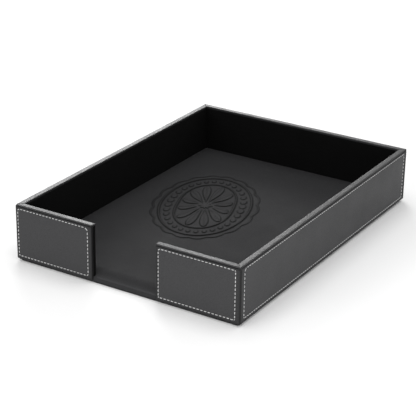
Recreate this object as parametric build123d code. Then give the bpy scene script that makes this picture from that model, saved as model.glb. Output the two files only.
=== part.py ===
from build123d import *

import math
import os

os.makedirs("parts", exist_ok=True)

# Document tray for A4 and letter paper: board walls wrapped in leatherette, stitched panels outside,
# a dark lining inside, a padded embossed floor and a thumb gap in the middle of the front wall.
# Millimetres, +Z up. The origin is the middle of the underside and the thumb gap faces -Y.

# Outside of the tray
outer_width = 245.0
outer_length = 334.0
outer_height = 58.0
thumb_gap_width = 70.0

# Thicknesses of the sheets and boards
skin = 0.7
panel_card_thickness = 0.8
wall_board_thickness = 3.2
lining_thickness = 0.6
base_cover_thickness = 1.0
base_board_thickness = 3.3
foam_thickness = 4.3

# Wall details
rim_outer_radius = 1.6
rim_inner_radius = 0.8
rim_lip_height = 1.5
turn_under = 12.0
panel_top_step = 1.8
panel_bottom_height = 2.5
panel_edge_radius = 0.6
panel_end_clearance = 0.2
panel_corner_radius = 1.0

# Stitch channel pressed into each panel
stitch_inset = 2.7
stitch_channel_width = 1.2
stitch_channel_depth = 0.3
stitch_corner_radius = 3.0

# Floor details
floor_edge_radius = 1.8
floor_ramp_run = 14.0
floor_ramp_landing = 1.2
floor_front_radius = 0.9
base_cover_inset = 1.0
base_cover_corner_radius = 2.0

# Embossed medallion on the floor
medallion_x = -30.0
medallion_y = 19.0
medallion_width = 110.0
medallion_length = 144.0
medallion_relief = 0.4
ring_width = 1.8
ring_spacing = 9.0
petal_count = 16
petal_waist = 0.72
petal_gap = 3.0
hub_width = 22.0

# Levels and offsets that follow from these, offsets being counted inwards from the outside faces
panel_thickness = panel_card_thickness + skin
board_offset = panel_thickness + skin
lining_offset = board_offset + wall_board_thickness
wall_thickness = lining_offset + lining_thickness
flap_end_offset = panel_thickness + turn_under
flap_level = base_cover_thickness
board_level = flap_level + skin
floor_board_level = board_level + base_board_thickness
foam_level = floor_board_level + foam_thickness
floor_level = foam_level + skin
board_top_level = outer_height - skin
lip_level = board_top_level - rim_lip_height
panel_top_level = outer_height - panel_top_step
half_gap = thumb_gap_width / 2

# How far a cutting solid runs past what it cuts
overrun = 1.0


# Helpers

def block(x_low, x_high, y_low, y_high, z_low, z_high):
    """A box between two corners."""
    size = (x_high - x_low, y_high - y_low, z_high - z_low)
    middle = ((x_low + x_high) / 2, (y_low + y_high) / 2, (z_low + z_high) / 2)
    return Pos(*middle) * Box(*size)


def frame_slab(inset, z_low, z_high):
    """A slab as large as the tray's plan, drawn in by the inset on every side."""
    half_x = outer_width / 2 - inset
    half_y = outer_length / 2 - inset
    return block(-half_x, half_x, -half_y, half_y, z_low, z_high)


def profile_along_x(face_on_yz, x_low, x_high):
    """A section drawn on the YZ plane, run along X."""
    return Pos(x_low, 0, 0) * extrude(face_on_yz, amount=x_high - x_low, dir=(1, 0, 0))


class Wall:
    """One wall, modelled as a front wall and then turned to its side of the tray."""

    def __init__(self, name, half_span, depth, turn, start=None):
        self.name = name
        self.half_span = half_span
        self.depth = depth
        self.turn = turn
        self.open_end = start is not None
        self.start = start if self.open_end else -half_span

    def place(self, solid):
        """The solid, turned about the tray's axis to where the wall stands."""
        return Rot(0, 0, self.turn) * solid

    def y(self, offset):
        """Y of a plane that lies the offset inside the wall's outer face."""
        return -self.depth + offset

    def corner_cut(self, offset):
        """Both corner mitres, or one where the wall ends at the thumb gap."""
        reach = 2 * turn_under
        near = self.start if self.open_end else self.start + reach
        outline = Polyline(
            (self.start, self.y(0)),
            (self.half_span, self.y(0)),
            (self.half_span - reach, self.y(reach)),
            (near, self.y(reach)),
            close=True,
        )
        return Pos(0, 0, -overrun) * extrude(
            make_face(outline), amount=outer_height + 2 * overrun, dir=(0, 0, 1)
        )

    def wrap_section(self):
        """Section of the leatherette: flap below the board, outer leg, rounded rim and short inner lip."""
        outer = panel_thickness
        points = [
            (self.y(flap_end_offset), flap_level),
            (self.y(outer), flap_level),
            (self.y(outer), outer_height),
            (self.y(wall_thickness), outer_height),
            (self.y(wall_thickness), lip_level),
            (self.y(lining_offset), lip_level),
            (self.y(lining_offset), board_top_level),
            (self.y(board_offset), board_top_level),
            (self.y(board_offset), board_level),
            (self.y(flap_end_offset), board_level),
        ]
        return make_face(Plane.YZ * Polyline(*points, close=True))

    def rim_cap_section(self):
        """Section of the folded leatherette that closes the rim at the thumb gap."""
        low = (self.y(panel_thickness), lip_level)
        high = (self.y(wall_thickness), outer_height)
        points = [low, (high[0], low[1]), high, (low[0], high[1])]
        return make_face(Plane.YZ * Polyline(*points, close=True))

    def round_rim(self, solid):
        """The rim's outer and inner edges, rounded."""
        top_edges = solid.edges().filter_by(Axis.X).group_by(Axis.Z)[-1]
        outer_edge = top_edges.sort_by(Axis.Y)[0]
        solid = fillet(outer_edge, min(rim_outer_radius, skin + wall_board_thickness / 2))
        top_edges = solid.edges().filter_by(Axis.X).group_by(Axis.Z)[-1]
        inner_edge = top_edges.sort_by(Axis.Y)[-1]
        return fillet(inner_edge, rim_inner_radius)

    def wrap(self):
        """Leatherette glued round the wall board."""
        begin = self.start - overrun
        solid = profile_along_x(self.wrap_section(), begin, self.half_span + overrun)
        if self.open_end:
            cap_end = self.start + lining_thickness
            solid += profile_along_x(self.rim_cap_section(), begin, cap_end)
        solid = self.round_rim(solid)
        return self.place(solid & self.corner_cut(0))

    def board(self):
        """Stiff board: the side boards run through and the others butt between them."""
        runs_through = self.turn in (90, -90)
        end = self.half_span - (board_offset if runs_through else lining_offset)
        begin = self.start + lining_thickness if self.open_end else -end
        solid = block(begin, end, self.y(board_offset), self.y(lining_offset), board_level, board_top_level)
        return self.place(solid)

    def lining(self):
        """Dark lining of the inner face, taken round the wall's end at the thumb gap."""
        inner = self.y(wall_thickness)
        back = self.y(lining_offset)
        begin = self.start - overrun
        end = self.half_span + overrun
        solid = block(begin, end, back, inner, floor_board_level, lip_level)
        if self.open_end:
            edge = self.start + lining_thickness
            solid += block(begin, edge, self.y(board_offset), back, floor_board_level, lip_level)
        return self.place(solid & self.corner_cut(0))

    def panel_ends(self):
        """Low and high X of the stitched panel: front and back panels cover the side panels' ends."""
        covered = self.turn in (90, -90)
        end = self.half_span - (panel_thickness + panel_end_clearance if covered else 0)
        begin = self.start if self.open_end else -end
        return begin, end

    def panel_card(self):
        """Card that stiffens the stitched panel."""
        begin, end = self.panel_ends()
        solid = block(
            begin + skin,
            end - skin,
            self.y(skin),
            self.y(panel_thickness),
            panel_bottom_height + skin,
            panel_top_level - skin,
        )
        return self.place(solid)

    def stitch_channel(self):
        """Shallow channel that the stitches lie in."""
        begin, end = self.panel_ends()
        middle = ((begin + end) / 2, (panel_bottom_height + panel_top_level) / 2)
        width = end - begin - 2 * stitch_inset
        height = panel_top_level - panel_bottom_height - 2 * stitch_inset
        grow = stitch_channel_width / 2
        outside = RectangleRounded(width + 2 * grow, height + 2 * grow, stitch_corner_radius + grow)
        inside = RectangleRounded(width - 2 * grow, height - 2 * grow, stitch_corner_radius - grow)
        ring = Plane.XZ * (outside - inside)
        ring = Pos(middle[0], self.y(stitch_channel_depth), middle[1]) * ring
        return extrude(ring, amount=stitch_channel_depth, dir=(0, -1, 0))

    def stitched_panel(self):
        """Leatherette skin of the stitched panel, turned round the edges of its card."""
        begin, end = self.panel_ends()
        solid = block(begin, end, self.y(0), self.y(panel_thickness), panel_bottom_height, panel_top_level)
        solid = fillet(solid.edges().filter_by(Axis.Y), panel_corner_radius)
        face_edges = solid.faces().sort_by(Axis.Y)[0].edges()
        solid = fillet(face_edges, panel_edge_radius)
        solid -= self.stitch_channel()
        return self.place(solid) - self.panel_card()


def padded_section(drop, front_points, back_offset):
    """Section on YZ of the pad: feathered out at the front, flat behind the ramp, rounded at the back."""
    landing = -outer_length / 2 + panel_thickness + floor_ramp_landing
    back = outer_length / 2 - back_offset
    foot = (landing, floor_board_level + skin - drop)
    crest = (landing + floor_ramp_run, floor_level - drop)
    middle = ((foot[0] + crest[0]) / 2, (foot[1] + crest[1]) / 2)
    radius = floor_edge_radius - drop
    rise = TangentArc(foot, middle, tangent=(1, 0))
    ease = TangentArc(middle, crest, tangent=rise % 1)
    flat = Line(crest, (back - radius, crest[1]))
    corner = TangentArc(flat @ 1, (back, crest[1] - radius), tangent=(1, 0))
    outline = Polyline(corner @ 1, (back, floor_board_level), *front_points, foot)
    return make_face(Plane.YZ * Wire([rise, ease, flat, corner] + outline.edges()))


def long_edge_cut(half, top, radius):
    """Prism that rounds one long top edge of the pad."""
    corner = Pos(half, top) * Rectangle(2 * radius, 2 * radius)
    corner -= Pos(half - radius, top - radius) * Circle(radius)
    corner = Pos(0, outer_length / 2, 0) * (Plane.XZ * corner)
    return extrude(corner, amount=outer_length, dir=(0, -1, 0))


def padded_block(drop, front_points):
    """The pad, its top drawn in by the drop and its long edges rounded, before the thumb gap is cut out."""
    inset = wall_thickness + drop
    half = outer_width / 2 - inset
    solid = profile_along_x(padded_section(drop, front_points, inset), -half, half)
    cut = long_edge_cut(half, floor_level - drop, floor_edge_radius - drop)
    solid -= cut
    return solid - mirror(cut, about=Plane.YZ)


def behind_front_walls(solid, drop):
    """The solid without its front corners, where the front walls stand."""
    inner = -outer_length / 2 + wall_thickness + drop
    for side in (-1, 1):
        near, far = sorted((side * (half_gap - drop), side * outer_width / 2))
        solid -= block(near, far, -outer_length / 2, inner, 0, outer_height)
    return solid


def foam():
    """Foam pad under the floor's leatherette, feathered out towards the thumb gap."""
    return behind_front_walls(padded_block(skin, []), skin)


def ring(half_x, half_y):
    """Raised oval ring, centred on its half sizes."""
    outside = Ellipse(half_x + ring_width / 2, half_y + ring_width / 2)
    inside = Ellipse(half_x - ring_width / 2, half_y - ring_width / 2)
    return extrude(outside - inside, amount=medallion_relief)


def petal(angle, half_x, half_y, hub_x, hub_y):
    """One pointed petal between the hub and the inner ring."""
    direction = (math.cos(angle), math.sin(angle))
    across = (-direction[1], direction[0])
    foot = (hub_x * direction[0], hub_y * direction[1])
    tip = (half_x * direction[0], half_y * direction[1])
    middle = ((foot[0] + tip[0]) / 2, (foot[1] + tip[1]) / 2)
    reach = math.hypot(*middle)
    bulge = petal_waist * reach * math.tan(math.pi / petal_count)
    left = (middle[0] + bulge * across[0], middle[1] + bulge * across[1])
    right = (middle[0] - bulge * across[0], middle[1] - bulge * across[1])
    outline = Curve() + [ThreePointArc(foot, left, tip), ThreePointArc(tip, right, foot)]
    return extrude(make_face(outline), amount=medallion_relief, dir=(0, 0, 1))


def medallion():
    """Plain oval rosette: two rings, pointed petals and a hub, pressed up from the floor."""
    half_x = (medallion_width - ring_width) / 2
    half_y = (medallion_length - ring_width) / 2
    inner_x = half_x - ring_spacing
    inner_y = half_y - ring_spacing
    hub_x = hub_width / 2
    hub_y = hub_x * inner_y / inner_x
    parts = [ring(half_x, half_y), ring(inner_x, inner_y)]
    parts.append(extrude(Ellipse(hub_x - petal_gap, hub_y - petal_gap), amount=medallion_relief))
    tip_x = inner_x - petal_gap
    tip_y = inner_y - petal_gap
    for index in range(petal_count):
        angle = 2 * math.pi * (index + 0.5) / petal_count
        parts.append(petal(angle, tip_x, tip_y, hub_x, hub_y))
    return [Pos(medallion_x, medallion_y, floor_level) * part for part in parts]


def floor_cover():
    """Leatherette over the foam, rolled over the front edge at the thumb gap and turned under the board."""
    front = -outer_length / 2 + panel_thickness
    front_points = [(front, floor_board_level), (front, floor_board_level + skin)]
    solid = behind_front_walls(padded_block(0, front_points), 0)
    solid += block(-half_gap, half_gap, front, front + skin, flap_level, floor_board_level)
    solid += block(-half_gap, half_gap, front, front + turn_under, flap_level, board_level)
    roll = solid.edges().filter_by(Axis.X).group_by(Axis.Y)[0].sort_by(Axis.Z)[-1]
    solid = fillet(roll, floor_front_radius)
    solid -= foam()
    return solid + medallion()


def base_board():
    """Board between the walls, with a tongue that fills the thumb gap."""
    solid = frame_slab(lining_offset, board_level, floor_board_level)
    front = -outer_length / 2 + panel_thickness + skin
    inner = -outer_length / 2 + lining_offset
    edge = half_gap + lining_thickness
    return solid + block(-edge, edge, front, inner, board_level, floor_board_level)


def base_cover():
    """Soft cover glued over the underside, short of the walls' outer faces."""
    solid = frame_slab(panel_thickness + base_cover_inset, 0, base_cover_thickness)
    return fillet(solid.edges().filter_by(Axis.Z), base_cover_corner_radius)


walls = [
    Wall("left", outer_length / 2, outer_width / 2, -90),
    Wall("right", outer_length / 2, outer_width / 2, 90),
    Wall("back", outer_width / 2, outer_length / 2, 180),
    Wall("front_right", outer_width / 2, outer_length / 2, 0, start=half_gap),
]

nodes = {
    "base_cover": base_cover(),
    "base_infill_card": frame_slab(flap_end_offset, flap_level, board_level),
    "base_board": base_board(),
    "floor_foam": foam(),
    "floor_cover": floor_cover(),
}
for wall in walls:
    nodes[wall.name + "_wall_board"] = wall.board()
    nodes[wall.name + "_wall_wrap"] = wall.wrap()
    nodes[wall.name + "_panel_card"] = wall.panel_card()
    nodes[wall.name + "_stitched_panel"] = wall.stitched_panel()
    nodes[wall.name + "_lining"] = wall.lining()

# The front wall's left half is the mirror image of its right half.
for name in [name for name in nodes if name.startswith("front_right")]:
    nodes[name.replace("right", "left")] = mirror(nodes[name], about=Plane.YZ)

for name, solid in nodes.items():
    export_step(solid, "parts/" + name + ".step")
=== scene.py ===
"""Document tray: leatherette walls with stitched panels, a black lining and a padded, embossed floor.

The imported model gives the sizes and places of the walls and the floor. Each sub-assembly below builds
its own meshes on it, with the rim's roll, the seams and the rosette in its own values. The frame is
the same: +Z up, the thumb gap facing -Y and the origin under the middle of the tray. Sizes are in
millimetres, and one function turns finished meshes to metres.
"""

import logging
import math
from dataclasses import dataclass
from enum import Enum

import bmesh
import bpy
import numpy as np
from mathutils import Matrix, Vector


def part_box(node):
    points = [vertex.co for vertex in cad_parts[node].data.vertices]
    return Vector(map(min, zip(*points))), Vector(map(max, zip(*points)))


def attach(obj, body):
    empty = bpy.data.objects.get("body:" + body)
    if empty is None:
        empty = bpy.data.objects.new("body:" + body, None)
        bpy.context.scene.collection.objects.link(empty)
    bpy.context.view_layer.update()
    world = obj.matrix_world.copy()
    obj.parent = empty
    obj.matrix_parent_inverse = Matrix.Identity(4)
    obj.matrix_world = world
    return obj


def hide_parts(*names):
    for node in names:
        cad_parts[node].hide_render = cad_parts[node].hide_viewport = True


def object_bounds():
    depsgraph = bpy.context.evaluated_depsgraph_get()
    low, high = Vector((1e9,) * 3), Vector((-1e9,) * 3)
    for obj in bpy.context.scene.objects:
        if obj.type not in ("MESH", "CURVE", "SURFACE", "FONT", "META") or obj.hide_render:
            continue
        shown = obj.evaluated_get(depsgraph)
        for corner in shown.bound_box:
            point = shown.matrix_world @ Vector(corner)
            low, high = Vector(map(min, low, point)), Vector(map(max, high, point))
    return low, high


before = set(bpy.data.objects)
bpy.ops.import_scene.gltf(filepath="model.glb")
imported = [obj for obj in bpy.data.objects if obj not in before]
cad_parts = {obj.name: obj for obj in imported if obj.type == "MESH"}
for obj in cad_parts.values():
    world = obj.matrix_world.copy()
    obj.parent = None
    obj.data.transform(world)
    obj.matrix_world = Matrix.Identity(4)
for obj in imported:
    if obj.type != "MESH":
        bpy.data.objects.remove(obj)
cad_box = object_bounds()

MM = 0.001
TINY = 1e-6
SHARP_ANGLE = 50.0
BODY = "root"
LOG = logging.getLogger("document_tray")

Array = np.ndarray
Colour = tuple[float, float, float, float]
Socket = bpy.types.NodeSocket


def linear(hex_colour: str) -> Colour:
    """Turns an sRGB hex colour into linear light.

    Args:
        hex_colour: A colour such as "#1c1c1c".

    Returns:
        Red, green and blue from 0 to 1, and an alpha of 1.
    """
    channels = [int(hex_colour[start:start + 2], 16) / 255 for start in (1, 3, 5)]
    values = [c / 12.92 if c <= 0.04045 else ((c + 0.055) / 1.055) ** 2.4 for c in channels]
    return (values[0], values[1], values[2], 1.0)


def add_node(
    tree: bpy.types.NodeTree,
    kind: str,
    settings: dict[str, object] | None = None,
    inputs: dict[str | int, object] | None = None,
) -> bpy.types.Node:
    """Adds one shader node with its settings, values and links.

    Args:
        tree: The node tree that takes the node.
        kind: The node type's identifier, such as "ShaderNodeBump".
        settings: Attributes to set on the node.
        inputs: For each input, by name or index, its value or the socket to link to it.

    Returns:
        The new node.
    """
    node = tree.nodes.new(kind)
    for name, value in (settings or {}).items():
        setattr(node, name, value)
    fill_inputs(tree, node, inputs or {})
    return node


def fill_inputs(
    tree: bpy.types.NodeTree, node: bpy.types.Node, inputs: dict[str | int, object]
) -> None:
    """Sets a node's inputs to plain values, or links sockets to them.

    Args:
        tree: The node tree that holds the node.
        node: The node.
        inputs: For each input, by name or index, its value or the socket to link to it.
    """
    for key, value in inputs.items():
        if isinstance(value, Socket):
            tree.links.new(value, node.inputs[key])
        else:
            node.inputs[key].default_value = value


def calculate(
    tree: bpy.types.NodeTree, operation: str, *values: float | Socket, clamp: bool = False
) -> Socket:
    """Works a number out of others with one maths node.

    Args:
        tree: The node tree that takes the node.
        operation: What it does, such as "MULTIPLY".
        *values: The numbers or sockets that it works on.
        clamp: Whether the result is kept from 0 to 1.

    Returns:
        The result.
    """
    settings = {"operation": operation, "use_clamp": clamp}
    return add_node(tree, "ShaderNodeMath", settings, dict(enumerate(values))).outputs["Value"]


# Finishes

@dataclass(frozen=True)
class Recipe:
    """A material in the making: its node tree, its Principled shader and the point on the object."""

    tree: bpy.types.NodeTree
    surface: bpy.types.Node
    place: Socket

    def noise(self, size_mm: float, detail: float = 2.0, distortion: float = 0.0) -> bpy.types.Node:
        """Adds soft noise.

        Args:
            size_mm: The size of its largest patches.
            detail: How many finer layers it has.
            distortion: How much it is stirred.

        Returns:
            The noise's node.
        """
        inputs = {
            "Vector": self.place,
            "Scale": 1 / (size_mm * MM),
            "Detail": detail,
            "Distortion": distortion,
        }
        return add_node(self.tree, "ShaderNodeTexNoise", inputs=inputs)

    def blend(self, share: Socket, first: str | Socket, second: str | Socket) -> Socket:
        """Mixes two colours, each a hex colour or a socket.

        Args:
            share: How much of the second there is.
            first: One colour.
            second: The other.

        Returns:
            The mixed colour.
        """
        low, high = (linear(end) if isinstance(end, str) else end for end in (first, second))
        inputs = {"Factor": share, 6: low, 7: high}
        return add_node(self.tree, "ShaderNodeMix", {"data_type": "RGBA"}, inputs).outputs[2]

    def spread(self, value: Socket, source: tuple[float, float], target: tuple[float, float]) -> Socket:
        """Stretches a value from one range to another.

        Args:
            value: The value.
            source: The range that it comes from.
            target: The range that it goes to.

        Returns:
            The new value.
        """
        names = ("Value", "From Min", "From Max", "To Min", "To Max")
        inputs = dict(zip(names, (value, *source, *target)))
        return add_node(self.tree, "ShaderNodeMapRange", inputs=inputs).outputs["Result"]

    def mark(self, name: str) -> Socket:
        """Reads a value that the mesh carries at each point, such as "wear"."""
        node = add_node(self.tree, "ShaderNodeAttribute", {"attribute_name": name})
        return node.outputs["Fac"]

    def emboss(self, height: Socket, depth_mm: float, strength: float = 0.5) -> None:
        """Gives the surface a fine relief.

        Args:
            height: The relief's height, as a multiple of its depth.
            depth_mm: The depth that a height of 1 stands for.
            strength: How much of it shows.
        """
        inputs = {"Strength": strength, "Distance": depth_mm * MM, "Height": height}
        bump = add_node(self.tree, "ShaderNodeBump", inputs=inputs)
        self.apply({"Normal": bump.outputs["Normal"]})

    def apply(self, inputs: dict[str | int, object]) -> None:
        """Sets or links the Principled shader's inputs."""
        fill_inputs(self.tree, self.surface, inputs)


@dataclass(frozen=True)
class Finish:
    """What every finish has: a name, and a material that is built once and then shared."""

    name: str

    def material(self) -> bpy.types.Material:
        """Finds the finish's material, or builds it on first use.

        Returns:
            The material.
        """
        known = bpy.data.materials.get(self.name)
        if known:
            return known
        material = bpy.data.materials.new(self.name)
        material.use_nodes = True
        tree = material.node_tree
        tree.nodes.clear()
        surface = add_node(tree, "ShaderNodeBsdfPrincipled")
        add_node(tree, "ShaderNodeOutputMaterial", inputs={"Surface": surface.outputs["BSDF"]})
        place = add_node(tree, "ShaderNodeTexCoord").outputs["Object"]
        self.paint(Recipe(tree, surface, place))
        return material

    def paint(self, recipe: Recipe) -> None:
        """Fills a recipe with the finish, which each kind of finish does in its own way."""
        raise NotImplementedError


@dataclass(frozen=True)
class Leatherette(Finish):
    """Leatherette: black polyurethane on cloth, its pebble grain embossed by a hot roller.

    The grain breaks up the soft shine of the coating. Stretched or rubbed edges are a little paler; on the
    floor's front crease the paleness is partly rubbing and partly a painted highlight. Heat and pressure
    burnish it darker along an embossed pattern; on its slopes the darkening is also painted shade.
    Painted shade darkens a panel's edges too, and a panel is darker outside its stitch line.
    """

    colour: str = "#1f1f20"
    valley_colour: str = "#151516"
    worn_and_highlight_colour: str = "#3b3b3c"
    burnish_and_shade_colour: str = "#121212"
    grain_mm: float = 0.9
    grain_depth_mm: float = 0.05
    pebble_edge: float = 0.25
    crease_mm: float = 5.0
    crease_share: float = 0.8
    mottle_mm: float = 30.0
    roughness: float = 0.40
    roughness_spread: float = 0.05
    specular_level: float = 0.5

    def paint(self, recipe: Recipe) -> None:
        """Paints embossed pebbles, soft creases, paler rubbed edges with a painted highlight on the
        floor's crease, and darker burnish with painted shade.

        Args:
            recipe: The material in the making.
        """
        tree = recipe.tree
        stir = self.grain_mm * MM / 2
        bent = add_node(
            tree,
            "ShaderNodeVectorMath",
            {"operation": "MULTIPLY_ADD"},
            {0: recipe.noise(self.crease_mm).outputs["Color"], 1: (stir, stir, stir), 2: recipe.place},
        )
        cells = add_node(
            tree,
            "ShaderNodeTexVoronoi",
            {"feature": "DISTANCE_TO_EDGE"},
            {"Vector": bent.outputs["Vector"], "Scale": 1 / (self.grain_mm * MM)},
        )
        pebble = add_node(
            tree,
            "ShaderNodeMapRange",
            {"interpolation_type": "SMOOTHSTEP"},
            {"Value": cells.outputs["Distance"], "From Max": self.pebble_edge},
        ).outputs["Result"]
        crease = recipe.noise(self.crease_mm / 2, detail=4.0).outputs[0]
        height = calculate(tree, "MULTIPLY_ADD", crease, self.crease_share, pebble)
        mottle = recipe.noise(self.mottle_mm, detail=3.0).outputs[0]
        patchy = calculate(tree, "MULTIPLY", recipe.mark("wear_and_highlight"), mottle, clamp=True)
        grained = recipe.blend(pebble, self.valley_colour, self.colour)
        # Paler where rubbed; on the floor's front crease this is also a painted highlight.
        worn_and_highlighted = recipe.blend(patchy, grained, self.worn_and_highlight_colour)
        # Darker from heat burnish; on the emboss slopes and along a panel's edges this is painted shade.
        burnished_and_shaded = recipe.blend(recipe.mark("burnish_and_shade"), worn_and_highlighted, self.burnish_and_shade_colour)
        spread = self.roughness_spread
        span = (self.roughness - spread, self.roughness + spread)
        recipe.emboss(height, self.grain_depth_mm, strength=0.6)
        recipe.apply(
            {
                "Base Color": burnished_and_shaded,
                "Roughness": recipe.spread(mottle, source=(0.3, 0.7), target=span),
                "IOR": 1.5,
                "Specular IOR Level": self.specular_level,
            }
        )


@dataclass(frozen=True)
class Velveteen(Finish):
    """Velveteen: short cut pile, brushed while wet, which drinks light and shows faint nap marks."""

    colour: str = "#040404"
    brushed_colour: str = "#080808"
    pile_mm: float = 0.35
    nap_mm: float = 22.0
    sheen: float = 0.01

    def paint(self, recipe: Recipe) -> None:
        """Paints a fine pile and soft nap marks.

        Args:
            recipe: The material in the making.
        """
        nap = recipe.noise(self.nap_mm, detail=3.0, distortion=1.0).outputs[0]
        recipe.emboss(recipe.noise(self.pile_mm).outputs[0], self.pile_mm / 2)
        recipe.apply(
            {
                "Base Color": recipe.blend(nap, self.colour, self.brushed_colour),
                "Roughness": 0.95,
                "Specular IOR Level": 0.1,
                "Sheen Weight": self.sheen,
                "Sheen Roughness": 0.4,
                "Sheen Tint": linear("#808084"),
            }
        )


@dataclass(frozen=True)
class WaxedThread(Finish):
    """Waxed polyester thread: two twisted plies, pale grey, with a dull shine and soil between them."""

    colour: str = "#dcdcdc"
    soiled_colour: str = "#acacac"
    fibre_mm: float = 0.25
    soil_mm: float = 7.0

    def paint(self, recipe: Recipe) -> None:
        """Paints fibres and uneven wax.

        Args:
            recipe: The material in the making.
        """
        soil = recipe.noise(self.soil_mm).outputs[0]
        recipe.emboss(recipe.noise(self.fibre_mm).outputs[0], self.fibre_mm / 3, strength=0.6)
        colour = recipe.blend(soil, self.colour, self.soiled_colour)
        recipe.apply({"Base Color": colour, "Roughness": 0.55})


@dataclass(frozen=True)
class PressedStock(Finish):
    """Pressed stock, such as fibreboard, greyboard or foam: two mixed tones of fibres, flecks or cells."""

    colour: str = "#b39b7b"
    fleck_colour: str = "#8c7354"
    fleck_mm: float = 0.8
    roughness: float = 0.85

    def paint(self, recipe: Recipe) -> None:
        """Paints flecks and a rough face.

        Args:
            recipe: The material in the making.
        """
        fleck = recipe.noise(self.fleck_mm, detail=5.0).outputs[0]
        share = recipe.spread(fleck, source=(0.35, 0.65), target=(0.0, 1.0))
        recipe.emboss(fleck, self.fleck_mm / 4)
        colour = recipe.blend(share, self.colour, self.fleck_colour)
        recipe.apply({"Base Color": colour, "Roughness": self.roughness})


PANEL_LEATHER = Leatherette(
    "panel_leatherette_embossed",
    colour="#454546",
    valley_colour="#3b3b3c",
    grain_depth_mm=0.03,
    roughness=0.42,
    specular_level=0.10,
)
RIM_LEATHER = Leatherette(
    "wrap_leatherette_embossed",
    colour="#242425",
    valley_colour="#1a1a1b",
    grain_depth_mm=0.03,
    roughness=0.43,
    specular_level=0.30,
)
FLOOR_LEATHER = Leatherette(
    "floor_leatherette_buffed",
    colour="#333334",
    valley_colour="#282829",
    worn_and_highlight_colour="#48484a",
    grain_mm=0.7,
    grain_depth_mm=0.12,
    roughness=0.8,
    specular_level=0.1,
)
LINING = Velveteen("lining_velveteen_brushed")
UNDERSIDE = Velveteen("underside_velveteen_brushed", colour="#101011", brushed_colour="#1a1a1b")
THREAD = WaxedThread("stitching_thread_waxed")
FIBREBOARD = PressedStock("wall_fibreboard_pressed")
GREYBOARD = PressedStock(
    "card_greyboard_pressed", colour="#a7a29a", fleck_colour="#8d8880", fleck_mm=0.5
)
FOAM = PressedStock("pad_foam_open_cell", colour="#4d4d4d", fleck_colour="#303030", fleck_mm=1.2)


# Mesh helpers

def build_piece(
    name: str,
    points: Array,
    faces: list[list[int]],
    finish: Finish,
    wear_and_highlight: Array | None = None,
    burnish_and_shade: Array | None = None,
) -> bpy.types.Object:
    """Makes one piece from points in millimetres, dresses it and lets it ride with the tray.

    Args:
        name: The piece's name.
        points: Its points, one row of x, y and z each.
        faces: The point numbers of each face.
        finish: The finish that it wears.
        wear_and_highlight: How pale each point is, from 0 to 1: rubbing, and a painted highlight on the
            floor's crease.
        burnish_and_shade: How much darker each point is, from 0 to 1: heat burnish, and painted shade on
            emboss slopes and panel edges.

    Returns:
        The new object.
    """
    mesh = bpy.data.meshes.new(name)
    mesh.from_pydata((points * MM).tolist(), [], faces)
    for label, values in (("wear_and_highlight", wear_and_highlight), ("burnish_and_shade", burnish_and_shade)):
        if values is not None:
            attribute = mesh.attributes.new(label, "FLOAT", "POINT")
            attribute.data.foreach_set("value", values.astype(np.float32))
    work = bmesh.new()
    work.from_mesh(mesh)
    loose = [vertex for vertex in work.verts if not vertex.link_faces]
    bmesh.ops.delete(work, geom=loose, context="VERTS")
    bmesh.ops.recalc_face_normals(work, faces=work.faces)
    work.to_mesh(mesh)
    work.free()
    mesh.shade_smooth()
    mesh.set_sharp_from_angle(angle=math.radians(SHARP_ANGLE))
    piece = bpy.data.objects.new(name, mesh)
    bpy.context.scene.collection.objects.link(piece)
    piece.data.materials.append(finish.material())
    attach(piece, BODY)
    LOG.info("built %s with %d faces", name, len(mesh.polygons))
    return piece


def grid_faces(rows: int, columns: int, ring: bool = False, first: int = 0) -> list[list[int]]:
    """Lists the quads of a grid of points that is stored row by row.

    Args:
        rows: How many rows of points there are.
        columns: How many points a row has.
        ring: Whether each row closes on itself.
        first: The number of the grid's first point.

    Returns:
        The four point numbers of each quad.
    """
    across = columns if ring else columns - 1
    row, column = np.meshgrid(np.arange(rows - 1), np.arange(across), indexing="ij")
    following = (column + 1) % columns
    near, far = first + row * columns, first + (row + 1) * columns
    quads = np.stack([near + column, near + following, far + following, far + column], axis=-1)
    return quads.reshape(-1, 4).tolist()


def tube_faces(rows: int, columns: int, first: int = 0) -> list[list[int]]:
    """Lists the faces of a closed tube: its quads, then the cap at each end.

    Args:
        rows: How many rings of points there are.
        columns: How many points a ring has.
        first: The number of the tube's first point.

    Returns:
        The point numbers of each face.
    """
    ends = (first, first + (rows - 1) * columns)
    caps = [list(range(start, start + columns)) for start in ends]
    return grid_faces(rows, columns, ring=True, first=first) + caps


def outline_distance(
    u: Array, z: Array, half_u: float, half_z: float, radius: Array | float
) -> Array:
    """Signed distance to a rounded rectangle about the origin, negative inside it.

    Args:
        u: Places along the first axis.
        z: Places along the second axis.
        half_u: Half of its size along the first axis.
        half_z: Half of its size along the second axis.
        radius: Its corner radius, or the radius of the corner that each point is nearest to.

    Returns:
        The distance of each point.
    """
    past_u = np.abs(u) - (half_u - radius)
    past_z = np.abs(z) - (half_z - radius)
    outside = np.hypot(np.maximum(past_u, 0), np.maximum(past_z, 0))
    return outside + np.minimum(np.maximum(past_u, past_z), 0) - radius


def rounded_drop(distance: Array, radius: float) -> Array:
    """How far a quarter-round edge has fallen away, at each distance in from the edge."""
    short = radius - np.clip(distance, 0, radius)
    return radius - np.sqrt(radius**2 - short**2)


def eased(radius: float, steps: int = 5) -> Array:
    """Distances in from a rounded edge, from 0 to its radius, closer together at the edge."""
    return radius * (1 - np.cos(np.linspace(0, math.pi / 2, steps + 1)))


def bell(distance: Array, width: float) -> Array:
    """A soft hump that is 1 at no distance and fades out past the width."""
    return np.exp(-((distance / width) ** 2))


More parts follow.
